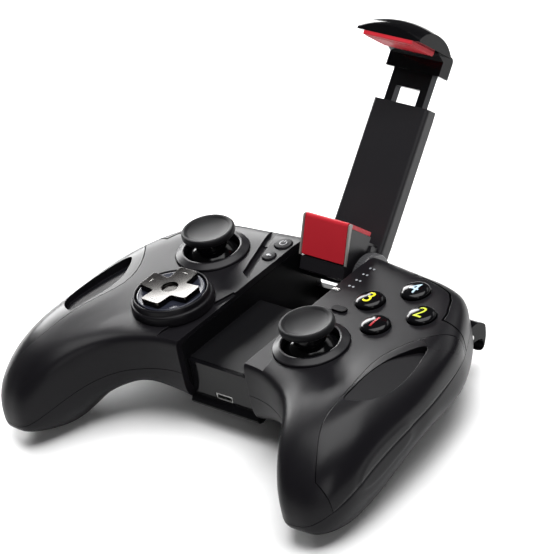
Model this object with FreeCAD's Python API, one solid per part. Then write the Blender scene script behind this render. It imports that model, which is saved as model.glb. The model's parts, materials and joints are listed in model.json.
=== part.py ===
import FreeCAD, Part
import math
import os
from FreeCAD import Vector

# Wireless gamepad with a folding phone clamp.
# The drawing is made about the middle of the flat top plate and moved to its row frame on saving.

# driving sizes, in millimetres
REACH = 80.5          # half the width over the grips
PLATE = 1.0           # height of the flat top plate above the drawing's zero
WALL = 2.4            # thickness of the moulded casing
SEAM = 0.2            # gap where two mouldings meet
CHANNEL = 15.6        # half the width of the clamp channel
FLOOR = -8.8          # channel floor
DOCK = -15.2          # front face of the dock under the channel
PIT_FRONT = 25.0      # where the floor drops into the rear pit
PIT_BACK = 54.3       # inner face of the pit's low back wall
PIT_FLOOR = -28.8
BOARD = -12.0         # top of the circuit board
STICK_L = (-41.6, 31.75)
STICK_R = (31.2, 0.0)
STICK_PIVOT = -6.5
DPAD = (-32.5, -0.2)
DIAMOND = (44.8, 29.8)
DIAMOND_REACH = 11.3
FACE_BUTTON = 5.2
POWER = (-19.9, 46.2)
HOME = (-19.7, 37.7)
MENU = (26.4, 21.3)
HINGE = (52.5, -8.8)  # fold hinge: y and z of its axis
LEAN = 44.7           # how far the phone leans back, in degrees
ORIGIN_BACK = 29.74   # row origin behind the drawing's zero
ORIGIN_DOWN = 34.48   # row origin below the drawing's zero

FRONT_LINE = [(0, -19), (12, -19), (19, -20.4), (26, -24.7), (32, -30.6), (38, -42), (45, -54.6), (53, -57.3),
              (62, -56.1), (74, -48.5), (90, -31)]
BACK_LINE = [(0, 57), (12, 57), (17, 56.2), (22, 55.4), (30, 54.3), (40, 52.8), (50, 47.5), (60, 35.5),
             (70, 22.8), (80, 1.4), (90, -31)]
UNDER_LINE = [(0, -28), (14, -24.8), (24, -20.8), (35, -26.5), (45, -36.2), (55, -36.4), (65, -37),
              (78, -36.5), (90, -37)]
SQUARE_LINE = [(0, 4.4), (20, 4.3), (35, 3.4), (50, 2.1), (70, 3), (90, 2.2)]
CREASE_LINE = [(0, 7), (20, 7), (35, 5), (50, 3), (90, 2.3)]
STATIONS = [0, 9, 17, 23, 29, 35, 41, 48, 55, 62, 68, 73, 77.5, 81, 84]
PART_LINE = [(75, -9.4), (26, -9.8), (0, -11), (-20, -12.6), (-35, -15.2), (-45, -18.5), (-52, -21.5),
             (-66, -28)]

PART_RISING = list(reversed(PART_LINE))
SKIN_STEPS = 18
SIDE_POWER = 9.5

made = []


def save(node, shape):
    """moves a shape to the row frame and writes it"""
    moved = shape.copy()
    moved.translate(Vector(0, -ORIGIN_BACK, ORIGIN_DOWN))
    moved.exportStep("parts/" + node + ".step")
    made.append(node)
    bb = moved.BoundBox
    print(node, len(moved.Solids), moved.isValid(), round(moved.Volume / 1000, 2),
          [round(v, 1) for v in (bb.XMin, bb.XMax, bb.YMin, bb.YMax, bb.ZMin, bb.ZMax)])


def through(points, x):
    """smooth value between a few points, with the slope taken from the neighbours"""
    n = len(points)
    if x <= points[0][0]:
        return points[0][1]
    if x >= points[-1][0]:
        return points[-1][1]
    i = max(k for k in range(n - 1) if points[k][0] <= x)

    def slope(k):
        a = points[max(0, k - 1)]
        b = points[min(n - 1, k + 1)]
        return 0.0 if k == 0 else (b[1] - a[1]) / (b[0] - a[0])
    h = points[i + 1][0] - points[i][0]
    s = (x - points[i][0]) / h
    y0, y1 = points[i][1], points[i + 1][1]
    m0, m1 = slope(i) * h, slope(i + 1) * h
    return ((2 * s ** 3 - 3 * s ** 2 + 1) * y0 + (s ** 3 - 2 * s ** 2 + s) * m0
            + (3 * s ** 2 - 2 * s ** 3) * y1 + (s ** 3 - s ** 2) * m1)


def ramp(v):
    v = min(1.0, max(0.0, v))
    return v * v * (3 - 2 * v)


def flatten(q):
    """levels the crown of a section into the flat plate"""
    v = 1.15 * q
    if v < 0.9:
        return v
    if v < 1.1:
        return v - (v - 0.9) ** 2 / 0.4
    return 1.0


def box(x0, x1, y0, y1, z0, z1):
    return Part.makeBox(x1 - x0, y1 - y0, z1 - z0, Vector(x0, y0, z0))


def rod(x, y, z0, z1, r):
    return Part.makeCylinder(r, z1 - z0, Vector(x, y, z0))


def rod_x(x0, x1, y, z, r):
    return Part.makeCylinder(r, x1 - x0, Vector(x0, y, z), Vector(1, 0, 0))


def rod_y(x, y0, y1, z, r):
    return Part.makeCylinder(r, y1 - y0, Vector(x, y0, z), Vector(0, 1, 0))


def tube(x, y, z0, z1, r, bore):
    return rod(x, y, z0, z1, r).cut(rod(x, y, z0 - 1, z1 + 1, bore))


def prism(points, z0, z1):
    """upright block over a plan outline"""
    loop = [Vector(x, y, z0) for x, y in points]
    return Part.Face(Part.makePolygon(loop + loop[:1])).extrude(Vector(0, 0, z1 - z0))


def profile(points, place):
    """face inside a run of points; a list among them is drawn as one smooth curve"""
    edges = []
    corners = []
    for item in points:
        run = [place(p) for p in (item if isinstance(item, list) else [item])]
        if corners and corners[-1].distanceToPoint(run[0]) > 1e-6:
            edges.append(Part.makeLine(corners[-1], run[0]))
        if len(run) > 1:
            curve = Part.BSplineCurve()
            curve.interpolate(run)
            edges.append(curve.toShape())
        corners += run
    if corners[-1].distanceToPoint(corners[0]) > 1e-6:
        edges.append(Part.makeLine(corners[-1], corners[0]))
    return Part.Face(Part.Wire(edges))


def turned(points, x, y, z=0.0):
    """a profile of (radius, height) points turned about an upright axis"""
    shape = profile(points, lambda p: Vector(p[0], 0, p[1])).revolve(Vector(0, 0, 0), Vector(0, 0, 1), 360)
    shape.translate(Vector(x, y, z))
    return shape


def across(points, half, x=0.0):
    """a profile in y and z pushed out to both sides along x"""
    return profile(points, lambda p: Vector(x - half, p[0], p[1])).extrude(Vector(2 * half, 0, 0))


def mirrored(shape):
    return shape.mirror(Vector(0, 0, 0), Vector(1, 0, 0))


def join(shapes):
    first = shapes[0]
    return first.fuse(shapes[1:]) if len(shapes) > 1 else first


def largest(shape):
    return sorted(shape.Solids, key=lambda s: s.Volume)[-1]


def soften(shape, pick, radius):
    """rounds the edges that the test picks, or leaves the shape as it is"""
    edges = [e for e in shape.Edges if pick(e)]
    if not edges:
        print("no edge to round")
        return shape
    rounded = shape.makeFillet(radius, edges)
    return rounded if rounded.isValid() else shape


# the casing's outside is one skin through sections across its width

def plate_height(x, y):
    crown = 1.4 * math.exp(-((abs(x) - 62) / 12) ** 2 - ((y + 20) / 20) ** 2)
    fall = 6.0 * (max(0.0, -22 - y) / 34) ** 2
    return PLATE + crown - fall


def under_height(angle, y):
    base = through(UNDER_LINE, angle)
    middle = 1 - ramp((angle - 18) / 20)
    rise = 12 * ramp((y + 45) / 55) * ramp((angle - 25) / 20)
    return base + (-30.5 - base) * ramp((y - 2) / 22) * middle + rise


def split_height(y):
    """height of the line where the two half shells meet"""
    return through(PART_RISING, y)


def spline_row(points, at):
    """poles and knots of the smooth curve through points at given parameters"""
    if len(points) == 2:
        return points, [0.0, 1.0], [2, 2], 1
    curve = Part.BSplineCurve()
    curve.interpolate(Points=points, Parameters=at)
    return curve.getPoles(), curve.getKnots(), curve.getMultiplicities(), 3


def even(count):
    return [k / (count - 1) for k in range(count)]


def curve_through(points):
    poles, knots, mults, degree = spline_row(points, even(len(points)))
    curve = Part.BSplineCurve()
    curve.buildFromPolesMultsKnots(poles, mults, knots, False, degree)
    return curve.toShape()


def strip(rows, stations):
    """one smooth face through rows of points; every row has as many points, and every station its row"""
    fitted = [spline_row(row, even(len(row))) for row in rows]
    along = []
    for j in range(len(fitted[0][0])):
        along.append(spline_row([row[0][j] for row in fitted], stations))
    surface = Part.BSplineSurface()
    poles, knots_u, mults_u, degree_u = fitted[0]
    poles, knots_v, mults_v, degree_v = along[0]
    poles = [a[0] for a in along]
    surface.buildFromPolesMultsKnots(poles, mults_u, mults_v, knots_u, knots_v, False, False, degree_u,
                                     degree_v)
    return surface.toShape()


def closed_solid(faces):
    shell = Part.Shell(faces)
    shell.sewShape()
    solid = Part.Solid(shell)
    if solid.Volume < 0:
        solid.reverse()
    return solid


def drawn_in(points, angle, inset, shift, way):
    """how far a plan line moves along y so that its wall keeps the inset's thickness where it runs slanted"""
    low, high = math.radians(angle - 1.5), math.radians(angle + 1.5)
    rise = through(points, angle + 1.5) - through(points, angle - 1.5)
    slope = rise / (REACH * (math.sin(high) - math.sin(low)))
    wanted = inset * math.sqrt(1 + slope ** 2) - way * shift * slope
    return min(2.4 * inset, max(0.7 * inset, wanted))


def half_section(angle, inset, upper, past):
    """one section of the upper or lower half: its skin, and its line along the parting height or past it"""
    x = REACH * math.sin(math.radians(angle))
    shift = inset * abs(x) / REACH * ramp((abs(angle) - 45) / 30)
    y_front = through(FRONT_LINE, abs(angle)) + drawn_in(FRONT_LINE, abs(angle), inset, shift, 1)
    y_back = through(BACK_LINE, abs(angle)) - drawn_in(BACK_LINE, abs(angle), inset, shift, -1)
    centre, half = (y_front + y_back) / 2, (y_back - y_front) / 2
    side = math.sqrt(1 - (abs(x) / REACH) ** SIDE_POWER)
    across_x = x - math.copysign(shift, x)
    sign = 1 if upper else -1
    skin = []
    for k in range(SKIN_STEPS + 1):
        t = math.pi * k / SKIN_STEPS
        c, s = math.cos(t), math.sin(t)
        n = 4.5 if c > 0 else through(CREASE_LINE if upper else SQUARE_LINE, abs(angle))
        rho = (abs(c) ** n + s ** n) ** (1 / n)
        y = centre + half * c / rho
        g = flatten(s / rho * side) if 0 < k < SKIN_STEPS else 0.0
        limit = plate_height(x, y) - inset if upper else under_height(abs(angle), y) + inset
        z = split_height(y) + sign * SEAM / 2
        skin.append(Vector(across_x, y, z + (limit - z) * g))
    line = []
    for k in range(9):
        y = y_front + (y_back - y_front) * k / 8
        line.append(Vector(across_x, y, split_height(y) + sign * (SEAM / 2 - past)))
    return skin, line


def half_casing(inset, upper, past=0.0):
    """solid of the upper or lower half, drawn in by an inset; cutters run on past the parting line"""
    angles = [-a for a in reversed(STATIONS[1:])] + STATIONS
    wires = []
    for angle in angles:
        skin, line = half_section(angle, inset, upper, past)
        edges = [curve_through(skin), curve_through(line)]
        if past:
            edges.insert(1, Part.makeLine(skin[-1], line[0]))
            edges.append(Part.makeLine(line[-1], skin[0]))
        wires.append(Part.Wire(edges))
    return Part.makeLoft(wires, True, False)


def coil(start, radius, wire, pitch, turns):
    """torsion spring wound about an axis along x"""
    steps = int(turns * 12)
    rows = []
    for i in range(steps + 1):
        a = 2 * math.pi * turns * i / steps
        out = Vector(0, math.cos(a), math.sin(a))
        centre = start + out * radius + Vector(pitch * turns * i / steps, 0, 0)
        row = []
        for k in range(9):
            b = 2 * math.pi * (k % 8) / 8
            row.append(centre + out * (wire * math.cos(b)) + Vector(wire * math.sin(b), 0, 0))
        rows.append(row)
    stations = even(steps + 1)
    faces = [strip(rows, stations)] + [Part.Face(Part.Wire([curve_through(rows[end])])) for end in (0, -1)]
    return closed_solid(faces)


def panel_prism(shift):
    """plan of the right side grip panel, from its curved inner seam outward"""
    seam = [(71.5, -50), (68.2, -43.3), (64.1, -34.2), (62.2, -22.7), (59.9, -9.2), (58.3, 2.0),
            (60.2, 11.1), (67.2, 22.8), (75, 31)]
    line = [Vector(x - shift, y + shift * (-1 if y < -49 else 0.8), -60) for x, y in seam]
    curve = Part.BSplineCurve()
    curve.interpolate(line)
    corners = [Vector(95, 31 + shift * 0.8, -60), Vector(95, -50 - shift, -60)]
    sides = Part.makePolygon([line[-1]] + corners + [line[0]])
    return Part.Face(Part.Wire([curve.toShape()] + sides.Edges)).extrude(Vector(0, 0, 90))


SCOOP = [(64.2, -21.5), (70.2, -17.3), (72.7, -11.3), (73.2, -2.4), (71.2, 10.5), (68.6, 16.4),
         (64.2, 10.7), (61.4, 2.7), (61.0, -8.5), (61.9, -16.6)]

BUMPER_PLAN = [(36.5, 62), (36.5, 51.4), (41, 51.2), (48.4, 49.6), (55.4, 47.0), (58.8, 43.4), (63.1, 35.6),
               (64.2, 31.7), (90, 31.7), (90, 62)]
POCKET = (35.5, 62.0, 40.0)      # trigger pocket: inner side, outer side and front wall
POCKET_TOP = -12.8
TRIGGER_PIN = (45.0, -15.5)
TRIGGER_SIDE = [[(49.5, -13.1), (53, -14.3), (55.8, -18.3), (56.4, -22.3), (55.2, -25.8), (52.9, -27.7),
                 (51.7, -26.3), (52.2, -22.8), (50.4, -19.6)], (45.5, -18.9), (42.5, -16.3), (42.5, -13.8),
                (45.5, -13.1)]
BOSSES = [(-52, 8), (52, 8), (-24, -14), (24, -14), (-27, 46), (30, 46)]
LIGHTS = [34.7, 38.67, 42.63, 46.6]
LEDGE = [(-CHANNEL, -30), (-24.6, -30), (-24.6, -15.5), (-CHANNEL - 0.9, 14), (-CHANNEL, 14)]
GROOVE = [(-17.2, 23.0), (-21.9, 25.5), (-31.4, 53.4), (-28.2, 53.4)]
USB = (-1.2, -21.2)   # socket centre in the dock cover: x and z

outer_top = half_casing(0.0, True)
outer_low = half_casing(0.0, False)
inner_top = half_casing(WALL, True, 2.0)
inner_low = half_casing(WALL, False, 2.0)
middle_top = half_casing(WALL / 2, True, 4.0)
middle_low = half_casing(WALL / 2, False, 1.0)
hollows = [half_casing(WALL + 0.15, upper, 1.0) for upper in (True, False)]
print("halves", outer_top.isValid(), outer_low.isValid(), [h.isValid() for h in hollows])


def kept_inside(shape):
    """the part of a shape that lies in the casing's hollow"""
    pieces = [shape.common(hollow) for hollow in hollows]
    return join([piece for piece in pieces if piece.Volume > 0.01]).removeSplitter()


def both(shape):
    """a part and its mirror twin on the other side"""
    return [shape, mirrored(shape)]


def diamond():
    x, y = DIAMOND
    r = DIAMOND_REACH
    return [(x, y - r), (x + r, y), (x - r, y), (x, y + r)]


def pill(place, grow, z0, z1):
    """a rounded slot outline, long across"""
    x, y = place
    r, half = 1.5 + grow, 1.6
    ends = [rod(x - half, y, z0, z1, r), rod(x + half, y, z0, z1, r)]
    return join([box(x - half, x + half, y - r, y + r, z0, z1)] + ends)


def bumper_block(grow):
    """block that frees the shoulder button at the back corner"""
    plan = [(x - grow, y - grow) if y < 60 else (x - grow, y + 10) for x, y in BUMPER_PLAN]
    return prism(plan, -30, 20)


def scoop():
    """thumb hollow of the side panel: level with the skin at the seam and deep under the outer ridge"""
    def at(x, y, past):
        return Vector(x, y, 1.75 - 0.36 * (x - 60.6) - 0.055 * (y + 8) + past)
    loops = []
    for past in (0.0, 14.0):
        curve = Part.BSplineCurve()
        curve.interpolate([at(x, y, past) for x, y in SCOOP], PeriodicFlag=True)
        loops.append(Part.Wire([curve.toShape()]))
    return Part.makeLoft(loops, True, True)


def make_side_panels():
    body = largest(outer_top.cut(half_casing(3.6, True, 2.0)).common(panel_prism(0.0)))
    right = largest(body.cut(scoop()))
    save("right_grip_panel", right)
    save("left_grip_panel", mirrored(right))


def make_bumpers():
    right = largest(outer_top.cut(half_casing(3.0, True, 2.0)).common(bumper_block(0.0)))
    save("right_bumper", right)
    save("left_bumper", mirrored(right))


def top_boss(place):
    """screw tower that hangs from the top cover down to the board"""
    x, y = place
    return middle_top.common(rod(x, y, BOARD, 20, 2.6)).cut(rod(x, y, BOARD - 1, -4, 1.05))


def make_top_covers():
    holes = both(prism(LEDGE, 0.1, 20)) + both(panel_prism(0.22)) + both(bumper_block(0.6))
    holes += [box(-CHANNEL, CHANNEL, -70, 70, -40, 30), prism(GROOVE, -0.6, 20)]
    for x, y in (STICK_L, STICK_R):
        holes += [rod(x, y, -20, 20, 11.4), rod(x, y, PLATE - 0.5, 20, 13.8)]
    holes += [rod(DPAD[0], DPAD[1], -20, 20, 12.95), rod(DPAD[0], DPAD[1], PLATE - 0.5, 20, 15.1)]
    holes += [rod(x, y, -20, 20, FACE_BUTTON + 0.3) for x, y in diamond()]
    holes += [rod(x, y, -8, -1.35, 6.35) for x, y in diamond()]
    holes += [rod(POWER[0], POWER[1], -20, 20, 3.55), rod(HOME[0], HOME[1], -20, 20, 2.85)]
    holes += [pill(MENU, 0.2, -20, 20)]
    holes += [rod(x, y, -20, 20, 0.5) for y in LIGHTS for x in (20.1, 21.8)]
    holes += [box(15, 18.5, 30.2, 31.8, -1.0, 20)]
    holes += [rod_x(-CHANNEL - 4, CHANNEL + 4, HINGE[0], HINGE[1], 2.05)]
    top = outer_top.cut(inner_top).cut(holes)
    sides = sorted(top.Solids, key=lambda s: s.Volume)[-2:]
    print("top pieces", [round(s.Volume) for s in top.Solids])
    for side in sides:
        right = side.BoundBox.Center.x > 0
        bosses = [top_boss(b) for b in BOSSES if (b[0] > 0) == right]
        save("right_top_cover" if right else "left_top_cover", largest(side.fuse(bosses)))


def pocket_walls():
    """walls of the trigger pocket on the right"""
    x0, x1, y = POCKET
    top = POCKET_TOP + 1.2
    walls = join([box(x0 - 1.4, x1 + 1.4, y - 1.4, y, -40, top), box(x0 - 1.4, x0, y - 1.4, 60, -40, top),
                  box(x1, x1 + 1.4, y - 1.4, 60, -40, top), box(x0, x1, y, 60, POCKET_TOP, top)])
    pin = rod_x(x0 - 3, x1 + 3, TRIGGER_PIN[0], TRIGGER_PIN[1], 1.02)
    return middle_low.common(walls.removeSplitter()).cut(pin)


def head_height(x, y):
    """seat of a casing screw, a little inside the underside"""
    angle = math.degrees(math.asin(abs(x) / REACH))
    return max(-19.5, under_height(angle, y) + 2.2)


def make_bottom_shell():
    x0, x1, y = POCKET
    pocket = box(x0, x1, y, 70, -60, POCKET_TOP)
    low = outer_low.cut(box(-CHANNEL, CHANNEL, -70, DOCK + 1.8, -60, 30))
    low = low.cut(box(-CHANNEL, CHANNEL, PIT_FRONT, PIT_BACK, PIT_FLOOR, 30))
    low = low.cut(box(-CHANNEL, CHANNEL, PIT_FRONT, 80, -20.6, 30))
    low = low.cut(rod_x(10.8, CHANNEL, HINGE[0], HINGE[1], 10.0))
    inside = [middle_low.common(box(a, a + 2, 0, 20, -40, -22.3)) for a in (-14, 12)]
    inside += [middle_low.common(box(a, a + 2, -12, -5, -40, -23.4)) for a in (-8, 4)]
    for a, b in BOSSES:
        head = rod(a, b, -60, head_height(a, b), 2.4)
        low = low.cut(head).cut(rod(a, b, -60, 0, 1.1))
        post = middle_low.common(rod(a, b, -60, BOARD - 1.6, 3.4))
        inside.append(post.cut([head, rod(a, b, -60, 0, 1.1)]))
    for block in both(pocket):
        low = low.cut(block)
    low = low.cut(inner_low)
    for piece in inside + both(pocket_walls()):
        low = low.fuse(piece)
    for pin in both(rod_x(x0 - 1.8, x1 + 1.8, TRIGGER_PIN[0], TRIGGER_PIN[1], 1.02)):
        low = low.cut(pin)
    print("low pieces", [round(s.Volume) for s in low.Solids])
    save("bottom_shell", largest(low))


def make_triggers():
    x0, x1, y = POCKET
    skin = half_casing(-3.2, False, 2.0)
    body = across(TRIGGER_SIDE, (x1 - x0) / 2 - 0.4, (x0 + x1) / 2).common(skin)
    pivot = rod_x(30, 70, TRIGGER_PIN[0], TRIGGER_PIN[1], 1.06)
    body = body.cut([pivot, box(30, x0 + 5.2, 40, 48.6, -20, -12)])
    right = largest(body)
    save("right_trigger", right)
    save("left_trigger", mirrored(right))
    pins = both(rod_x(x0 - 1.3, x1 + 1.3, TRIGGER_PIN[0], TRIGGER_PIN[1], 1.0))
    save("trigger_pins", Part.makeCompound(pins))
    spring = coil(Vector(x0 + 1.0, TRIGGER_PIN[0], TRIGGER_PIN[1]), 1.9, 0.28, 0.8, 4.25)
    save("right_trigger_spring", spring)
    save("left_trigger_spring", mirrored(spring))
    boards = both(kept_inside(box(40, 56, y - 3.2, y - 1.5, -20, -14.5)))
    save("shoulder_boards", Part.makeCompound(boards))


def make_channel():
    c = CHANNEL
    w = c + 1.6
    walls = [box(-w, w, DOCK + 1.8, PIT_FRONT, FLOOR - 1.6, FLOOR)]
    walls += [box(-w, w, PIT_FRONT - 1.6, PIT_FRONT, -27.8, FLOOR)]
    walls += both(box(c, w, -30, 70, FLOOR - 1.6, -1.6)) + both(box(c, w, PIT_FRONT - 1.6, 70, -27.8, -1.6))
    walls += both(box(c, w, -30, DOCK + 1.8, -27, -1.6))
    tray = kept_inside(join(walls).removeSplitter())
    tray = tray.cut(rod_x(-30, 30, HINGE[0], HINGE[1], 2.1))
    save("channel_tray", largest(tray))
    side = [(DOCK, FLOOR - 0.1), (DOCK + 1.7, FLOOR - 0.1), (DOCK + 1.7, -26.0), (-15.0, -26.6),
            (-16.8, -26.0), (-17.5, -24.8), (-16.9, -23.6), (DOCK, -22.9)]
    cover = across(side, c - 0.15)
    cover = cover.cut(box(USB[0] - 3.85, USB[0] + 3.85, -20, -10, USB[1] - 1.35, USB[1] + 1.35))
    save("dock_cover", cover)
    port = box(USB[0] - 3.7, USB[0] + 3.7, -15.0, -9.4, USB[1] - 1.2, USB[1] + 1.2)
    port = port.cut(box(USB[0] - 3.35, USB[0] + 3.35, -16, -10, USB[1] - 0.85, USB[1] + 0.85))
    tongue = box(USB[0] - 2.6, USB[0] + 2.6, -14.2, -9.8, USB[1] - 0.1, USB[1] + 0.5)
    save("usb_socket", port.fuse(tongue).removeSplitter())
    save("charge_board", box(-9, 7, -11, -5, USB[1] - 2.2, USB[1] - 1.2))
    save("detent_clip", box(15.75, 18.4, 30.3, 31.7, -0.95, PLATE + 0.25))
    plates = both(kept_inside(box(w + 0.05, w + 2.2, 49.2, 55.8, -15.0, -4.6)))
    plates = [largest(p.cut(rod_x(-30, 30, HINGE[0], HINGE[1], 2.03))) for p in plates]
    save("hinge_plates", Part.makeCompound(plates))
    save("hinge_pin", rod_x(-w - 2.1, w + 2.1, HINGE[0], HINGE[1], 2.0))


def make_board():
    outline = [(-60, -11.5), (-17.6, -11.5), (-17.6, -12.5), (17.6, -12.5), (17.6, -11.5), (60, -11.5),
               (60, 26), (50, 37.5), (33.4, 37.5), (33.4, 49), (18.6, 49), (18.6, 22.5), (-18.6, 22.5),
               (-18.6, 49), (-33.4, 49), (-33.4, 37.5), (-50, 37.5), (-60, 26)]
    board = prism(outline, BOARD - 1.6, BOARD).common(half_casing(WALL + 0.6, False, 1.0))
    board = board.cut([rod(x, y, -20, 0, 1.3) for x, y in BOSSES])
    save("main_board", largest(board))
    save("battery", soften(box(-17, 17, -3, 21, -22.3, -16.6), lambda e: abs(e.Length - 24) < 0.01, 2.4))
    screws = []
    for x, y in BOSSES:
        z = head_height(x, y) - 0.05
        head = rod(x, y, z - 1.65, z, 2.1).cut(box(x - 0.3, x + 0.3, y - 1.4, y + 1.4, z - 2.5, z - 0.85))
        screws.append(head.fuse(rod(x, y, z - 0.05, -4.6, 1.0)).removeSplitter())
    save("casing_screws", Part.makeCompound(screws))
    spots = [(POWER[0] - 1.2, POWER[1]), (HOME[0] - 1.2, HOME[1]), MENU]
    switches = [box(x - 1.6, x + 1.6, y - 1.6, y + 1.6, BOARD, -8.4) for x, y in spots]
    save("tact_switches", Part.makeCompound(switches))
    guide = [box(20.0, 21.9, 33.8, 47.5, -3.0, -1.5)]
    guide += [rod(x, y, -2, PLATE + 0.05, 0.42) for y in LIGHTS for x in (20.1, 21.8)]
    save("light_guides", join(guide).removeSplitter())


def make_face_buttons():
    names = ["front_button", "right_button", "left_button", "back_button"]
    plan = [(28.4, 12), (60, 12), (60, 32), (52, 38), (52, 46), (38, 46), (28.4, 36)]
    mat = [prism(plan, BOARD, BOARD + 0.8)]
    for name, (x, y) in zip(names, diamond()):
        r = FACE_BUTTON
        crown = [(r, 1.6), (r - 0.12, 1.98), (r - 0.55, 2.38), (r - 1.7, 2.78), (r - 3.4, 3.06), (0, 3.15)]
        dome = [(0, -6.2), (2.2, -6.2), (2.2, -2.9), (r + 0.8, -2.9), (r + 0.8, -1.6), (r, -1.6), crown]
        save(name, turned(dome, x, y))
        mat.append(turned([(0, BOARD), (3.6, BOARD), (2.6, -8.2), (2.0, -7.8), (0, -7.8)], x, y))
    x0, x1, y = POCKET
    roof = box(x0 - 1.45, x1 + 1.5, y - 1.45, 70, -60, POCKET_TOP + 1.25)
    sheet = kept_inside(join(mat).cut([rod(52, 8, -20, 0, 4), roof]))
    save("button_mat", largest(sheet.removeSplitter()))


def make_small_buttons():
    for name, (x, y), r in (("power_button", POWER, 3.4), ("home_button", HOME, 2.7)):
        cap = [(0, -1.15), (r, -1.15), (r, 1.2), (r - 0.4, 1.55), (0, 1.7)]
        leg = rod(x - 1.2, y, -7.8, -0.5, 1.3)
        save(name, turned(cap, x, y).fuse(leg).removeSplitter())
    leg = rod(MENU[0], MENU[1], -7.8, -1.2, 1.3)
    save("menu_button", pill(MENU, 0.0, -1.5, 1.7).fuse([leg]).removeSplitter())


def make_dpad():
    x, y = DPAD
    step = [(14.9, 3.3), (14.75, 3.85), (14.5, 4.1), (14.1, 4.2)]
    lip = [(13.85, 5.7), (13.65, 6.1), (13.3, 6.3), (13.05, 6.2), (12.95, 5.9)]
    ring = [(12.95, PLATE - 0.5), (14.9, PLATE - 0.5), step, (13.9, 4.45), lip]
    save("dpad_collar", turned(ring, x, y))
    pivot = 2.5
    four = ((9.4, 0), (-9.4, 0), (0, 9.4), (0, -9.4))
    edge = [(12.35, 5.6), (12.3, 5.9), (12.0, 6.1), (11.5, 6.05)]
    disc = turned([(0, 4.6), (12.3, 4.6), edge, (9, 5.8), (0, 5.6)], x, y)
    disc = disc.fuse([rod(x, y, 1.6, 5, 1.9), rod_y(x, y - 3.2, y + 3.2, pivot, 0.5)])
    disc = disc.fuse([rod(x + a, y + b, -4.2, 5, 1.2) for a, b in four])
    save("dpad_disc", disc.removeSplitter())
    arm = 4.1
    cross = join([box(-10.9, 10.9, -arm, arm, 5.0, 9.0), box(-arm, arm, -10.9, 10.9, 5.0, 9.0)])
    cross = cross.removeSplitter()
    cross = soften(cross, lambda e: abs(e.BoundBox.ZLength - 4.0) < 0.01, 0.9)
    cross = cross.cut([Part.makeSphere(78.0, Vector(0, 0, 7.64 + 78.0)), rod(0, 0, 6.9, 12, 3.1)])
    cross.translate(Vector(x, y, 0))
    low = turned([(0, 4.0), (12.6, 4.0), (12.6, 6.2), (11.5, 6.12), (9, 5.86), (0, 5.66)], x, y)
    save("dpad_cross", largest(cross.cut(low)))
    ringlet = tube(x, y, pivot - 0.8, pivot + 0.8, 4.4, 2.6)
    ringlet = ringlet.cut(rod_y(x, y - 6, y + 6, pivot, 0.55))
    pins = rod_x(x - 5.9, x + 5.9, y, pivot, 0.5).cut(rod(x, y, -5, 5, 3.0))
    save("dpad_gimbal", ringlet.fuse(pins).removeSplitter())
    post = tube(x, y, BOARD, 3.3, 6.6, 4.8).cut(rod_x(x - 8, x + 8, y, pivot, 0.56))
    save("dpad_post", post)
    mat = [tube(x, y, BOARD, BOARD + 0.8, 12.4, 6.7)]
    dome = [(0, BOARD), (2.5, BOARD), (1.9, -6.4), (1.5, -6.0), (0, -6.0)]
    mat += [turned(dome, x + a, y + b) for a, b in four]
    save("dpad_mat", join(mat).removeSplitter())


def make_stick(side, place):
    x, y = place
    z = STICK_PIVOT
    lip = [(11.5, 2.75), (11.1, 2.95), (10.75, 3.0), (10.4, 2.9), (10.2, 2.65)]
    bezel = [(10.2, PLATE - 0.5), (13.6, PLATE - 0.5), [(13.6, 1.35), (13.45, 1.75), (13.1, 1.95)], lip]
    save(side + "_stick_bezel", turned(bezel, x, y))

    def square(half, low, high):
        return box(x - half, x + half, y - half, y + half, low, high)
    save(side + "_stick_base", square(6.2, BOARD, -4.0).cut(square(5.2, BOARD + 1.0, 0)))
    frame = square(5.0, z - 1.6, z + 1.6).cut(square(4.1, -20, 0))
    save(side + "_stick_frame", frame.cut(rod_x(x - 8, x + 8, y, z, 0.66)))
    bow = square(3.7, z - 1.1, z + 1.1).cut(square(2.6, -20, 0))
    pins = rod_x(x - 4.9, x + 4.9, y, z, 0.6).cut(square(3, -20, 0))
    save(side + "_stick_bow", bow.fuse(pins).removeSplitter().cut(rod_y(x, y - 5, y + 5, z, 0.66)))
    centre = Vector(x, y, z)
    dome = Part.makeSphere(11.5, centre).cut([Part.makeSphere(10.4, centre), square(20, -40, z)])
    stem = [square(2.1, z - 1.1, z + 1.1), rod_y(x, y - 3.6, y + 3.6, z, 0.6), rod(x, y, z, 5.5, 1.5)]
    neck = [(5.7, 3.9), (5.5, 5.2), (5.25, 6.35)]
    stem += [turned([(0, 3.4), (5.7, 3.4), neck, (0, 6.35)], x, y), rod(x, y, 6, 9.0, 2.6)]
    save(side + "_stick_stem", dome.fuse(stem).removeSplitter())
    skirt = [(6.4, 7.42), (8.9, 8.0), (9.7, 8.7), (9.8, 9.1)]
    rim = [(9.85, 9.3), (9.85, 10.1), (9.5, 10.8), (8.8, 11.0), (8.2, 10.75), (7.7, 10.4)]
    cap = [(0, 6.42), (5.2, 6.42), skirt, rim, [(7.7, 10.4), (5.5, 9.9), (3.0, 9.65), (0, 9.57)]]
    save(side + "_stick_cap", turned(cap, x, y).cut(rod(x, y, 6, 9.02, 2.64)))


# the clamp is drawn along the phone: y runs up its back and z out of its screen

def lean(shape):
    shape = shape.copy()
    shape.rotate(Vector(0, 0, 0), Vector(1, 0, 0), 90 - LEAN)
    shape.translate(Vector(0, 54.5, 17.5))
    return shape


PIVOT = (-20.08, -17.09)


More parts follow.
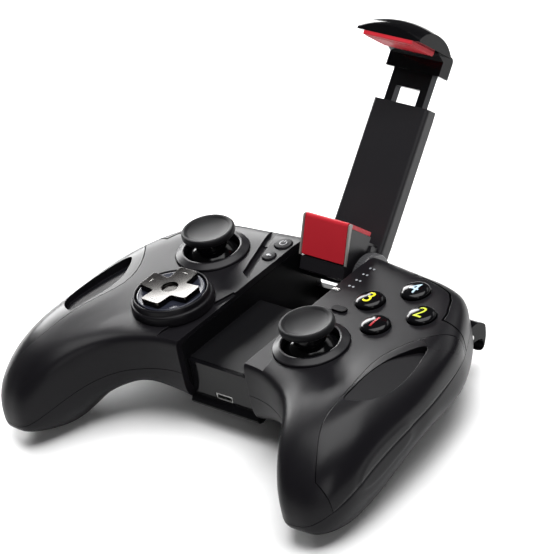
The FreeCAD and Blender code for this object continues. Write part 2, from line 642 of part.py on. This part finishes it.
def make_clamp():
    u, n = PIVOT
    side = [(-6.0, -1.2), (-18.6, -5.6), (-19.4, -4.7), (-24.1, -6.3), (-24.1, -14), (-6.0, -14)]
    foot = across(side, 10.1)
    neck = box(-10.1, 10.1, -24.1, -8, -19.2, -13.9)
    barrel = rod_x(-15.3, 10.9, u, n, 5.0)
    housing = box(-12.6, 12.6, -11.5, 43.8, -24.2, -19)
    housing = soften(housing, lambda e: abs(e.Length - 55.3) < 0.01 and e.BoundBox.ZMin > -20, 1.6)
    web = box(-10.9, 10.9, u + 1, -9, -21.8, -15)
    arm = join([foot, neck, barrel, housing, web]).removeSplitter()
    sides = [rod_x(10.9, 20, u, n, 9.9), rod_x(-20, -15.3, u, n, 9.9)]
    arm = arm.cut([box(-9.3, 9.3, -7, 50, -23.95, -20.15), rod_x(-30, 30, u, n, 2.06)] + sides)
    save("clamp_arm", lean(largest(arm)))
    cover = box(-11.8, 11.8, -9.5, 43.0, -25.4, -24.2)
    cover = soften(cover, lambda e: abs(e.BoundBox.ZLength - 1.2) < 0.01, 2.0)
    save("arm_cover", lean(cover))
    face = [(-4.4, 0.0), (-4.75, 0.42), (-5.3, 0.55), (-6.4, 0.3)]
    side = [face, (-18.9, -4.2), (-18.5, -5.45), (-6.0, -1.05), (-5.9, -13.8), (-4.4, -13.8)]
    corners = both(box(7.9, 12, -20, -17.5, -10, 2).cut(Part.makeCylinder(2.0, 12, Vector(7.9, -17.5, -10))))
    save("lower_pad", lean(across(side, 9.7).cut(corners)))
    rim = [(-4.6, 0.1), (-5.3, 0.65), (-6.4, 0.45), (-19.3, -4.1), (-19.3, -5.0), (-6.0, -1.0), (-4.6, -1.0)]
    save("foot_rims", Part.makeCompound([lean(p) for p in both(across(rim, 0.3, 10.45))]))
    wheel = rod_x(11.3, 15.1, u, n, 9.2)
    wheel = soften(wheel, lambda e: e.BoundBox.XLength < 0.01, 0.5)
    save("tilt_knob", lean(wheel.cut(rod_x(0, 30, u, n, 2.06))))


def make_jaw():
    arch = [(67.2, 0.5), (69.9, -2.4), (71.2, -6.5), (71.2, -11.0), (69.9, -15.8), (67.6, -19.4),
            (64.2, -22.4)]
    points = [arch, (60, -22.4), (60, 0.5)]
    head = profile(points, lambda p: Vector(0, p[0], p[1]))
    axis = 67.2 - 38.0
    head.rotate(Vector(0, axis, 0), Vector(0, 0, 1), 25)
    head = head.revolve(Vector(0, axis, 0), Vector(0, 0, 1), -50)
    head = head.common(box(-14.3, 14.3, 63.7, 80, -30, 10))
    leg = box(-12.2, 12.2, 56.2, 64.6, -25.2, -19.4)
    leg = soften(leg, lambda e: e.BoundBox.YMin > 64 and e.BoundBox.ZMax < -25 and e.Length > 20, 2.0)
    fillet = across([(64.0, -14.5), (61.6, -19.3), (61.6, -21), (64.0, -21)], 12.2)
    jaw = join([head, leg, fillet]).removeSplitter()
    jaw = jaw.cut(box(-8.9, 8.9, 50, 62, -23.8, -20.3))
    save("upper_jaw", lean(largest(jaw)))
    side = [(62.4, -14), (62.1, -0.6), [(62.1, -0.1), (62.3, 0.3), (62.8, 0.4)], (63.65, 0.4), (63.65, -14)]
    pad = across(side, 11.0)
    ribs = [box(-10.6 + k * 1.4, -9.9 + k * 1.4, 61.9, 62.6, -13.5, -1.0) for k in range(16)]
    save("upper_pad", lean(pad.fuse(ribs).removeSplitter().cut(jaw)))
    rail = box(-8.8, 8.8, 5.2, 61.95, -23.7, -20.4).cut(box(-5.5, 5.5, 8, 50, -30, 0))
    save("jaw_rail", lean(rail))


os.makedirs("parts", exist_ok=True)
make_side_panels()
make_bumpers()
make_top_covers()
make_bottom_shell()
make_triggers()
make_channel()
make_board()
make_face_buttons()
make_small_buttons()
make_dpad()
make_stick("left", STICK_L)
make_stick("right", STICK_R)
make_clamp()
make_jaw()
print("made", len(made))
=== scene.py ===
# %% [markdown]
# A gamepad is a two-part moulded casing with its controls standing through it, and here a padded clamp
# folds out of a channel down its middle. The solid model already has every piece at its real size.
# This lesson dresses that model: it gives each piece the finish that its real material has,
# and adds the small shaped details, one cell at a time.

# %% Load the solid model
import bpy
import bmesh
import json
import math
from mathutils import Matrix, Vector
from mathutils.bvhtree import BVHTree


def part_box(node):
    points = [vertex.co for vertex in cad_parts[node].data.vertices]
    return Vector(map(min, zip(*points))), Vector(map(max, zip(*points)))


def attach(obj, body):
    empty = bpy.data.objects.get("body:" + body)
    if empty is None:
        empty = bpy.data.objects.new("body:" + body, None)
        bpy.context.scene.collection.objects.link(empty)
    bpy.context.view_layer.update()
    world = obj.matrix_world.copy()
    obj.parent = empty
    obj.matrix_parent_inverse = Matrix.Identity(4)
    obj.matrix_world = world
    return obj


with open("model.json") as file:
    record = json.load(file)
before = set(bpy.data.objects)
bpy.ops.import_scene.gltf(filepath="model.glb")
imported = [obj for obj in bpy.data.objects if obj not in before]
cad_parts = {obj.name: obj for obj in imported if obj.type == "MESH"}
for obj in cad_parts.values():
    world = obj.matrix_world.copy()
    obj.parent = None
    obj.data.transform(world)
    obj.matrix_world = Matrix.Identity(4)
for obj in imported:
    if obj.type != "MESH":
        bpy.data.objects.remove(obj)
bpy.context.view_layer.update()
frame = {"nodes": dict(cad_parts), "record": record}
nodes = frame["nodes"]
print("solid pieces:", len(nodes))

# %% [markdown]
# Colours are written as sRGB hex values. Shaders work in linear light, so one function turns the
# first into the second. Another adds a node with its settings and links in one line, which keeps
# each recipe short enough to read.

# %% Colour and node helpers
MM = 0.001


def tone(hex_value):
    """an sRGB hex value in linear light, by the standard sRGB curve"""
    parts = [int(hex_value[i:i + 2], 16) / 255 for i in (1, 3, 5)]
    return tuple(c / 12.92 if c <= 0.04045 else ((c + 0.055) / 1.055) ** 2.4 for c in parts) + (1.0,)


def add(tree, kind, settings=None, **links):
    """adds a node; settings name its properties or sockets, links name sockets fed by other sockets"""
    node = tree.nodes.new(kind)
    for key, value in (settings or {}).items():
        if hasattr(node, key):
            setattr(node, key, value)
        else:
            node.inputs[key].default_value = value
    for key, source in links.items():
        tree.links.new(source, node.inputs[key.replace("_", " ")])
    return node


def first_node(mat, kind):
    return [n for n in mat.node_tree.nodes if n.type == kind][0]


def start(name):
    """an empty material with its output, its shader and the object's own coordinates in metres"""
    mat = bpy.data.materials.new(name)
    mat.use_nodes = True
    tree = mat.node_tree
    tree.nodes.clear()
    out = add(tree, "ShaderNodeOutputMaterial")
    shader = add(tree, "ShaderNodeBsdfPrincipled")
    tree.links.new(shader.outputs["BSDF"], out.inputs["Surface"])
    place = add(tree, "ShaderNodeTexCoord").outputs["Object"]
    return mat, tree, shader, place


# %% [markdown]
# The finishes are put together from a few steps. A noise gives a cloudy pattern with patches of
# one size. The pattern, spread between two values, varies the roughness or the colour.
# On moulded and metal pieces it also lifts the surface a little, over edges rounded in the shading.

# %% Steps that the finishes share
def noise(tree, place, size_mm, detail):
    """a cloudy pattern whose patches have about the given size"""
    settings = {"Scale": 1 / (size_mm * MM), "Detail": detail}
    return add(tree, "ShaderNodeTexNoise", settings, Vector=place).outputs["Fac"]


def vary(tree, pattern, low, high):
    """spreads a pattern between two values"""
    return add(tree, "ShaderNodeMapRange", {"To Min": low, "To Max": high}, Value=pattern).outputs["Result"]


def set_colour(tree, shader, colour, pattern, darkest, lightest):
    """a base colour that the pattern makes a little darker and lighter from place to place"""
    shade = vary(tree, pattern, darkest, lightest)
    tint = add(tree, "ShaderNodeVectorMath", {"operation": "SCALE"}, Scale=shade)
    tint.inputs[0].default_value = tone(colour)[:3]
    tree.links.new(tint.outputs["Vector"], shader.inputs["Base Color"])


def set_relief(tree, shader, pattern, strength, depth_mm, edge_mm):
    """edges rounded in the shading, with the pattern's relief on top"""
    edge = add(tree, "ShaderNodeBevel", {"samples": 4, "Radius": edge_mm * MM})
    bump = add(tree, "ShaderNodeBump", {"Strength": strength, "Distance": depth_mm * MM}, Height=pattern,
               Normal=edge.outputs["Normal"])
    tree.links.new(bump.outputs["Normal"], shader.inputs["Normal"])


# %% [markdown]
# Most of the casing is ABS, moulded in a tool whose walls were spark eroded. That leaves a fine even
# grain, which the eye reads as satin: highlights stay wide and soft. The real grain is about 0.15 mm,
# too fine to show from here, so it is drawn at 0.5 mm. A second, much larger noise varies the
# roughness a little, as handling and the mould's own wear do. A mould never leaves a knife edge:
# the Bevel node rounds each corner's shading over a fifth of a millimetre, so that every seam and rim
# catches a thin bright line, as the real ones do. The pits of an eroded surface hide part of the light
# from each other, so it mirrors less than smooth plastic: the mirror value sets that share.
# The gloss pieces have a low value as well: at the usual one they came out too pale.

# %% Moulded plastics
PLASTIC_IOR = 1.54
WEAR_MM = 28             # size of the patches that handling leaves
GRAIN_STRENGTH = 0.35


def moulded(name, colour, rough, grain_mm=0.5, depth_mm=0.02, spread=0.06, edge_mm=0.2, mirror=0.5):
    mat, tree, shader, place = start(name)
    shader.inputs["IOR"].default_value = PLASTIC_IOR
    shader.inputs["Specular IOR Level"].default_value = mirror
    grain = noise(tree, place, grain_mm, 2.0)
    wear = noise(tree, place, WEAR_MM, 3.0)
    tree.links.new(vary(tree, wear, rough - spread, rough + spread), shader.inputs["Roughness"])
    set_relief(tree, shader, grain, GRAIN_STRENGTH, depth_mm, edge_mm)
    set_colour(tree, shader, colour, wear, 0.92, 1.08)
    return mat


casing_abs = moulded("black ABS, spark eroded grain", "#121114", 0.36, depth_mm=0.04, mirror=0.12)
panel_abs = moulded("black ABS grip panel, fine satin", "#111013", 0.29, grain_mm=0.35, depth_mm=0.012,
                    mirror=0.14)
channel_abs = moulded("black ABS channel liner, matt", "#0b0b0d", 0.4, mirror=0.1)
bezel_abs = moulded("dark grey ABS bezel, satin", "#161518", 0.33, grain_mm=0.4, depth_mm=0.01, mirror=0.15)
gloss_abs = moulded("piano black ABS, polished mould", "#09090b", 0.12, grain_mm=3.0, depth_mm=0.004,
                    spread=0.03, mirror=0.14)
button_abs = moulded("dark grey ABS small button, satin", "#121114", 0.36, mirror=0.05)
disc_abs = moulded("blue grey ABS disc, satin", "#262832", 0.25, grain_mm=1.0, depth_mm=0.006,
                   spread=0.03, mirror=0.22)
red_rubber = moulded("red thermoplastic rubber pad", "#bd2430", 0.42, grain_mm=0.6, mirror=0.3)
rim_abs = moulded("light grey ABS rim", "#8d8884", 0.3)
# The clamp's black is lighter than the casing's as painted light: it lifts the arm and its cover out of the
# shadow they sit in.
shade_lifted_clamp_abs = moulded("black ABS clamp, smooth, lightened against its shadow", "#1b1a1d", 0.34, grain_mm=0.4, depth_mm=0.01, mirror=0.35)
# The knob's dark grey is made lighter as a painted highlight, so that its ribbed rim reads bright.
highlit_knob_abs = moulded("dark grey ABS knob, lightened as painted highlight", "#434345", 0.25)
bearing_acetal = moulded("white acetal bearing", "#d9d9d4", 0.4)
board_epoxy = moulded("green glass epoxy board, soldermask", "#1f5a38", 0.3)
cell_wrap = moulded("grey cell wrap", "#6b6f78", 0.35)
pale_silicone = moulded("pale silicone", "#c9c8c2", 0.5)
light_acrylic = moulded("clear acrylic light guide", "#c9d0d6", 0.15)

# %% [markdown]
# The skin of the casing turns over in a wide curve where the two halves meet at the grips. The solid
# has a small flat there, so on the outermost sides the shaded rounding grows from a fifth of a
# millimetre to nearly two. How far out a point lies is the size of its X coordinate.

# %% Wider rounding along the flanks
FLANK_FROM_MM, FLANK_TO_MM = 76.0, 78.5
EDGE_INSIDE_MM, EDGE_FLANK_MM = 0.2, 1.8


def round_flanks(mat):
    tree = mat.node_tree
    edge = first_node(mat, "BEVEL")
    parts = add(tree, "ShaderNodeSeparateXYZ", None, Vector=first_node(mat, "TEX_COORD").outputs["Object"])
    outward = add(tree, "ShaderNodeMath", {"operation": "ABSOLUTE"}, Value=parts.outputs["X"])
    limits = {"From Min": FLANK_FROM_MM * MM, "From Max": FLANK_TO_MM * MM,
              "To Min": EDGE_INSIDE_MM * MM, "To Max": EDGE_FLANK_MM * MM}
    reach = add(tree, "ShaderNodeMapRange", limits, Value=outward.outputs["Value"])
    tree.links.new(reach.outputs["Result"], edge.inputs["Radius"])
    edge.samples = 8


round_flanks(casing_abs)
round_flanks(panel_abs)

# %% [markdown]
# The stick caps are soft-touch rubber over a hard core. Rubber scatters light at its surface, so it
# keeps almost no sharp reflection and a faint paler bloom shows where it is seen edge on.
# Sheen gives that bloom. The slow noise in the roughness stands for the dish that thumbs polish.

# %% Soft-touch rubber
stick_rubber = moulded("thermoplastic rubber stick cap, moulded matt", "#111113", 0.5, grain_mm=0.3,
                       mirror=0.1)
rubber_shader = first_node(stick_rubber, "BSDF_PRINCIPLED")
rubber_shader.inputs["Sheen Weight"].default_value = 0.05
rubber_shader.inputs["Sheen Roughness"].default_value = 0.4

# %% [markdown]
# The direction cross is the one bright control: ABS with a thin vacuum-deposited metal layer under
# clear lacquer. It mirrors what is around it in broad patches, light on one arm and dark on the next.
# So it is a metal with a low roughness and a fine grain from the lacquer, at 0.3 mm here.

# %% Metal-faced plastic and steel
def metal_face(name, colour, rough, grain_mm, depth_mm, edge_mm=0.25, spread=0.05):
    mat, tree, shader, place = start(name)
    grain = noise(tree, place, grain_mm, 3.0)
    tree.links.new(vary(tree, grain, rough - spread, rough + spread), shader.inputs["Roughness"])
    set_relief(tree, shader, grain, 0.3, depth_mm, edge_mm)
    shader.inputs["Base Color"].default_value = tone(colour)
    shader.inputs["Metallic"].default_value = 1.0
    return mat


cross_metal = metal_face("ABS cross, vacuum metallised dark chrome", "#363432", 0.24, 0.3, 0.012)
bright_steel = metal_face("steel, rolled and nickel plated", "#c9c9c7", 0.28, 0.8, 0.004)
dark_steel = metal_face("steel rail, black oxide", "#2a2a2c", 0.35, 0.8, 0.004)

# %% [markdown]
# The solid model names a finish for each piece, and a table turns those names into the materials
# above. Three pieces of the clamp differ from the rest of their finish, so they are named one by one:
# the rail is dark steel, and the arm and its cover take a lighter black, painted light against their shadow.

# %% Give each solid piece its material
finishes = {
    "casing": casing_abs, "grip_panel": panel_abs, "channel": channel_abs, "gloss_black": gloss_abs,
    "stick_rubber": stick_rubber, "bezel": bezel_abs, "small_button": button_abs, "dpad_disc": disc_abs,
    "dpad_cross": cross_metal, "red_pad": red_rubber, "rim": rim_abs, "knob": highlit_knob_abs, "steel": bright_steel,
    "gimbal": bearing_acetal, "board": board_epoxy, "battery": cell_wrap, "switch": button_abs,
    "silicone": pale_silicone, "light": light_acrylic,
}
slot_of = {part["node"]: part["material_slot"] for part in frame["record"]["subparts"]}
special = {"jaw_rail": dark_steel, "clamp_arm": shade_lifted_clamp_abs, "arm_cover": shade_lifted_clamp_abs}
for name, piece in nodes.items():
    mesh = piece.data
    mesh.materials.clear()
    mesh.materials.append(special.get(name, finishes[slot_of[name]]))
print("finishes used:", len({slot_of[n] for n in nodes}))

# %% [markdown]
# The marks on the buttons are printed under the lacquer, so they lie in the surface and follow its dome.
# A mark is drawn flat, cut into a fine grid, and each of its points is dropped straight down
# onto the solid piece below it.

# %% Laying a flat mark on a curved piece
SPECKLE_MM = 0.6         # size of the unevenness of a printed layer
FAR_ABOVE_M = 1.0        # height that the points are dropped from
SAME_POINT_M = 1e-6
ON_PLANE_M = 1e-7


def printed_ink(name, colour, rough=0.25):
    mat, tree, shader, place = start(name)
    speckle = noise(tree, place, SPECKLE_MM, 2.0)
    tree.links.new(vary(tree, speckle, rough - 0.05, rough + 0.08), shader.inputs["Roughness"])
    set_colour(tree, shader, colour, speckle, 0.9, 1.05)
    return mat


def cut_into_cells(work, cell_mm):
    """slices a flat mesh along both axes, so that it can bend"""
    for axis in (0, 1):
        values = [v.co[axis] for v in work.verts]
        low, high = min(values), max(values)
        count = max(1, int((high - low) / (cell_mm * MM)))
        for k in range(1, count):
            point = Vector((0, 0, 0))
            point[axis] = low + (high - low) * k / count
            normal = Vector((0, 0, 0))
            normal[axis] = 1.0
            everything = work.verts[:] + work.edges[:] + work.faces[:]
            bmesh.ops.bisect_plane(work, geom=everything, plane_co=point, plane_no=normal, dist=ON_PLANE_M)


def lay_on(name, flat, node, body, ink, centre, lift_mm=0.03, deep_mm=0.12, cell_mm=0.45):
    """cuts a flat mesh into cells, thickens it and drops it onto a solid piece at a centre"""
    work = bmesh.new()
    work.from_mesh(flat)
    bmesh.ops.remove_doubles(work, verts=work.verts, dist=SAME_POINT_M)
    cut_into_cells(work, cell_mm)
    for face in work.faces:
        if face.normal.z < 0:
            face.normal_flip()
    raised = bmesh.ops.extrude_face_region(work, geom=work.faces[:])
    upper = {item for item in raised["geom"] if isinstance(item, bmesh.types.BMVert)}
    solid = BVHTree.FromPolygons([v.co for v in nodes[node].data.vertices],
                                 [p.vertices[:] for p in nodes[node].data.polygons])
    for vert in work.verts:
        x, y = vert.co.x + centre[0], vert.co.y + centre[1]
        hit = solid.ray_cast(Vector((x, y, FAR_ABOVE_M)), Vector((0, 0, -1)))[0]
        top = hit.z if hit else centre[2]
        vert.co = Vector((x, y, top + (lift_mm if vert in upper else -deep_mm) * MM))
    bmesh.ops.triangulate(work, faces=work.faces[:])
    bmesh.ops.recalc_face_normals(work, faces=work.faces[:])
    mesh = bpy.data.meshes.new(name)
    work.to_mesh(mesh)
    work.free()
    mesh.materials.append(ink)
    piece = bpy.data.objects.new(name, mesh)
    bpy.context.collection.objects.link(piece)
    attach(piece, body)
    print(name, len(mesh.polygons), "faces")


# %% [markdown]
# The buttons are numbered, one to four, in four colours. A numeral is a text object turned into a
# mesh, brought to its height and set about its own middle.

# %% Numbers on the four round buttons
NUMBER_MM = 5.6


def number_shape(text, height_mm):
    curve = bpy.data.curves.new("number", "FONT")
    curve.body = text
    holder = bpy.data.objects.new("number", curve)
    bpy.context.collection.objects.link(holder)
    bpy.context.view_layer.update()
    mesh = bpy.data.meshes.new_from_object(holder.evaluated_get(bpy.context.evaluated_depsgraph_get()))
    bpy.data.objects.remove(holder)
    xs = [v.co.x for v in mesh.vertices]
    ys = [v.co.y for v in mesh.vertices]
    scale = height_mm * MM / (max(ys) - min(ys))
    middle = Vector(((max(xs) + min(xs)) / 2, (max(ys) + min(ys)) / 2, 0))
    mesh.transform(Matrix.Scale(scale, 4) @ Matrix.Translation(-middle))
    return mesh


def top_centre(node):
    low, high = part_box(node)
    return Vector(((low.x + high.x) / 2, (low.y + high.y) / 2, high.z))


inks = {
    "front_button": ("1", "dark red print under lacquer", "#a31420"),
    "right_button": ("2", "yellow green print under lacquer", "#c4cf3c"),
    "left_button": ("3", "yellow print under lacquer", "#e0dc1e"),
    "back_button": ("4", "pale blue print under lacquer", "#b9d4e4"),
}
for node, (text, label, colour) in inks.items():
    shape = number_shape(text, NUMBER_MM)
    lay_on("number_" + text, shape, node, node, printed_ink(label, colour), top_centre(node))

# %% [markdown]
# The power button has the usual broken ring with a bar, the smaller one a plain arrow. Both are moulded
# as thin raised lines. Each is drawn as flat faces and laid on in the same way.

# %% Moulded symbols on the small buttons
SYMBOL_LIFT_MM = 0.06
RING_MM, RING_LINE_MM, RING_GAP_DEG = 1.15, 0.3, 70
BAR_HALF_MM, BAR_FROM_MM, BAR_TO_MM = 0.16, 0.5, 1.7
ARROW_MM = [(-1.2, 0.0), (0.0, 0.95), (0.0, 0.35), (1.1, 0.35), (1.1, -0.35), (0.0, -0.35), (0.0, -0.95)]


def flat_mesh(name, corners, faces):
    mesh = bpy.data.meshes.new(name)
    mesh.from_pydata([(x * MM, y * MM, 0) for x, y in corners], [], faces)
    return mesh


def broken_ring(radius, width, gap_deg, steps=26):
    corners = []
    for k in range(steps + 1):
        a = math.radians(90 + gap_deg / 2 + (360 - gap_deg) * k / steps)
        corners += [(radius * math.cos(a), radius * math.sin(a)),
                    ((radius + width) * math.cos(a), (radius + width) * math.sin(a))]
    return corners, [(2 * k, 2 * k + 1, 2 * k + 3, 2 * k + 2) for k in range(steps)]


raised_mark = printed_ink("raised ABS line, worn pale", "#8c8c90", 0.35)
corners, faces = broken_ring(RING_MM, RING_LINE_MM, RING_GAP_DEG)
bar = len(corners)
corners += [(-BAR_HALF_MM, BAR_FROM_MM), (BAR_HALF_MM, BAR_FROM_MM),
            (BAR_HALF_MM, BAR_TO_MM), (-BAR_HALF_MM, BAR_TO_MM)]
faces.append((bar, bar + 1, bar + 2, bar + 3))
lay_on("power_mark", flat_mesh("power", corners, faces), "power_button", "power_button", raised_mark,
       top_centre("power_button"), SYMBOL_LIFT_MM)
lay_on("arrow_mark", flat_mesh("arrow", ARROW_MM, [(0, 6, 5, 4, 3, 2, 1)]), "home_button", "home_button",
       raised_mark, top_centre("home_button"), SYMBOL_LIFT_MM)

# %% [markdown]
# Small raised lines near the ends of the cross tell the thumb which arm it is on.
# Each lies across its arm, so its long side turns with the way that the arm points.

# %% Marks on the direction cross
LINE_REACH_MM = 8.6      # from the middle of the cross to a line
LINE_LONG_MM = 2.2
LINE_WIDE_MM = 0.35
LINE_LIFT_MM = 0.08

cross_mark = metal_face("ABS mark, metallised, worn bright", "#8f8d8a", 0.25, 0.3, 0.004)
cross_top = top_centre("dpad_cross")
for name, way_x, way_y in (("left", -1, 0), ("right", 1, 0), ("front", 0, -1), ("back", 0, 1)):
    w = (LINE_WIDE_MM if way_x else LINE_LONG_MM) / 2
    h = (LINE_WIDE_MM if way_y else LINE_LONG_MM) / 2
    shape = flat_mesh(name, [(-w, -h), (w, -h), (w, h), (-w, h)], [(0, 1, 2, 3)])
    centre = cross_top + Vector((way_x, way_y, 0)) * LINE_REACH_MM * MM
    lay_on("cross_mark_" + name, shape, "dpad_cross", "dpad", cross_mark, centre, LINE_LIFT_MM)

# %% [markdown]
# What repeats is left to Geometry Nodes: one small shape and a rule for where its copies go.
# The tilt knob has a ribbed rim for the fingers, and the charge lights are pairs of clear lenses.
# Both trees have their sizes as named inputs, so the same tree could dress another knob or row.

# %% A tree that sets a bead at every point of a ring or a grid
def bead_tree(name, layout):
    tree = bpy.data.node_groups.new(name, "GeometryNodeTree")
    sockets = [("Count", "NodeSocketInt"), ("Rows", "NodeSocketInt"), ("Reach", "NodeSocketFloat"),
               ("Length", "NodeSocketFloat"), ("Bead Size", "NodeSocketVector"),
               ("Finish", "NodeSocketMaterial")]
    for label, kind in sockets:
        tree.interface.new_socket(label, in_out="INPUT", socket_type=kind)
    tree.interface.new_socket("Geometry", in_out="OUTPUT", socket_type="NodeSocketGeometry")
    given = add(tree, "NodeGroupInput").outputs
    if layout == "ring":
        points = add(tree, "GeometryNodeMeshCircle", None, Vertices=given["Count"], Radius=given["Reach"])
    else:
        points = add(tree, "GeometryNodeMeshGrid", None, Size_X=given["Reach"], Size_Y=given["Length"],
                     Vertices_X=given["Count"], Vertices_Y=given["Rows"])
    bead = add(tree, "GeometryNodeMeshUVSphere", {"Segments": 12, "Rings": 8, "Radius": 1.0})
    copies = add(tree, "GeometryNodeInstanceOnPoints", None, Points=points.outputs["Mesh"],
                 Instance=bead.outputs["Mesh"], Scale=given["Bead Size"])
    real = add(tree, "GeometryNodeRealizeInstances", None, Geometry=copies.outputs["Instances"])
    smooth = add(tree, "GeometryNodeSetShadeSmooth", None, Geometry=real.outputs["Geometry"])
    paint = add(tree, "GeometryNodeSetMaterial", None, Geometry=smooth.outputs["Geometry"],
                Material=given["Finish"])
    add(tree, "NodeGroupOutput", None, Geometry=paint.outputs["Geometry"])
    return tree


def grow(name, tree, values, place, body):
    """runs a tree with its named inputs, keeps the result as a plain mesh and puts it in place"""
    seed = bpy.data.objects.new(name, bpy.data.meshes.new(name))
    bpy.context.collection.objects.link(seed)
    growth = seed.modifiers.new("beads", "NODES")
    growth.node_group = tree
    for item in tree.interface.items_tree:
        if item.in_out == "INPUT" and item.name in values:
            growth[item.identifier] = values[item.name]
    bpy.context.view_layer.update()
    mesh = bpy.data.meshes.new_from_object(seed.evaluated_get(bpy.context.evaluated_depsgraph_get()))
    seed.modifiers.clear()
    mesh.transform(place)
    if not mesh.materials:
        mesh.materials.append(values["Finish"])
    seed.data = mesh
    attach(seed, body)
    print(name, len(mesh.polygons), "faces")


# %% [markdown]
# The ribs stand on the knob's round side, partly sunk into it, and run along its axis. The ring of
# beads lies flat when it is made, so it is turned until its axis is the knob's own, along X.

# %% Ribs round the tilt knob
RIB_COUNT = 56
RIB_HALF_MM = (0.3, 0.3, 1.7)
RIB_SUNK_MM = 0.12

low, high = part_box("tilt_knob")
knob_middle = (low + high) / 2
knob_radius = (high.z - low.z) / 2
# The ribs share the knob's lightened grey, the painted highlight on its rim.
ribs = {"Count": RIB_COUNT, "Reach": knob_radius - RIB_SUNK_MM * MM,
        "Bead Size": tuple(v * MM for v in RIB_HALF_MM), "Finish": highlit_knob_abs}
turn_to_x = Matrix.Translation(knob_middle) @ Matrix.Rotation(math.radians(90), 4, "Y")
grow("knob_ribs", bead_tree("beads on a ring", "ring"), ribs, turn_to_x, "knob")

# %% [markdown]
# The charge lights are eight clear lenses over holes in the cover, in four pairs. Unlit acrylic looks
# pale because light goes in, scatters and comes back, so they are given a light grey face with a hard gloss.

# %% Lenses over the charge lights
PAIR_MM = 1.7            # between the two lenses of a pair
ROW_MM = 11.9            # from the first pair to the last
PAIR_COUNT = 4
LENS_HALF_MM = (0.4, 0.4, 0.14)

lens = printed_ink("clear acrylic lens over a white guide", "#989da2", 0.12)
lights = {"Count": 2, "Rows": PAIR_COUNT, "Reach": PAIR_MM * MM, "Length": ROW_MM * MM,
          "Bead Size": tuple(v * MM for v in LENS_HALF_MM), "Finish": lens}
spot = Matrix.Translation(top_centre("light_guides"))
grow("light_lenses", bead_tree("beads on a grid", "grid"), lights, spot, "casing")

# %% [markdown]
# The set is a studio table: a pale floor that runs out of sight, soft lights and a faint pale surround.
# Black plastic shows its shape only by what it mirrors. The small light at the left back stands low,
# just under the place that the flat top mirrors toward the camera. So the left side turns grey and
# fades to black on the right, and only the front and right arms of the dished cross shine.

# %% Floor, lights and camera
FLOOR_HALF_M = 3.0
MIDDLE = (0, 0, 0.03)


def studio_floor():
    s = FLOOR_HALF_M
    mesh = bpy.data.meshes.new("floor")
    mesh.from_pydata([(-s, -s, 0), (s, -s, 0), (s, s, 0), (-s, s, 0)], [], [(0, 1, 2, 3)])
    floor = bpy.data.objects.new("floor", mesh)
    bpy.context.collection.objects.link(floor)
    mesh.materials.append(moulded("pale studio floor", "#f7f7f7", 0.6, grain_mm=5.0, depth_mm=0.001))


def softbox(name, place, aim, size, watts):
    data = bpy.data.lights.new(name, "AREA")
    data.shape = "RECTANGLE"
    data.size, data.size_y = size
    data.energy = watts
    lamp = bpy.data.objects.new(name, data)
    bpy.context.collection.objects.link(lamp)
    lamp.location = place
    lamp.rotation_euler = (Vector(aim) - Vector(place)).to_track_quat("-Z", "Y").to_euler()


studio_floor()
softbox("overhead", (0.1, 0.15, 1.3), MIDDLE, (1.2, 1.2), 30.0)
softbox("left_wall", (-0.44, 0.25, 0.2), (-0.05, 0, 0.03), (0.35, 0.2), 3.6)
softbox("back_wall", (0.15, 1.1, 0.75), MIDDLE, (0.9, 0.3), 2.0)
softbox("right_front", (0.9, -0.7, 0.5), (0.02, -0.02, 0.03), (0.3, 0.6), 2.0)

world = bpy.data.worlds.new("pale surround")
bpy.context.scene.world = world
world.use_nodes = True
surround = world.node_tree.nodes["Background"]
surround.inputs["Color"].default_value = tone("#ffffff")
surround.inputs["Strength"].default_value = 0.08

camera_data = bpy.data.cameras.new("camera")
camera = bpy.data.objects.new("camera", camera_data)
bpy.context.collection.objects.link(camera)
camera_data.sensor_width = 36.0
camera_data.lens = 202.2
camera_data.clip_start = 0.05
right = Vector((0.754, 0.632, -0.183))
up = Vector((-0.223, 0.507, 0.832))
back = Vector((0.618, -0.586, 0.523))
turn = Matrix((right, up, back)).transposed().to_4x4()
camera.matrix_world = Matrix.Translation((0.6711, -0.64544, 0.61008)) @ turn
bpy.context.scene.camera = camera
bpy.context.scene.view_settings.view_transform = "Standard"
print("camera ready")
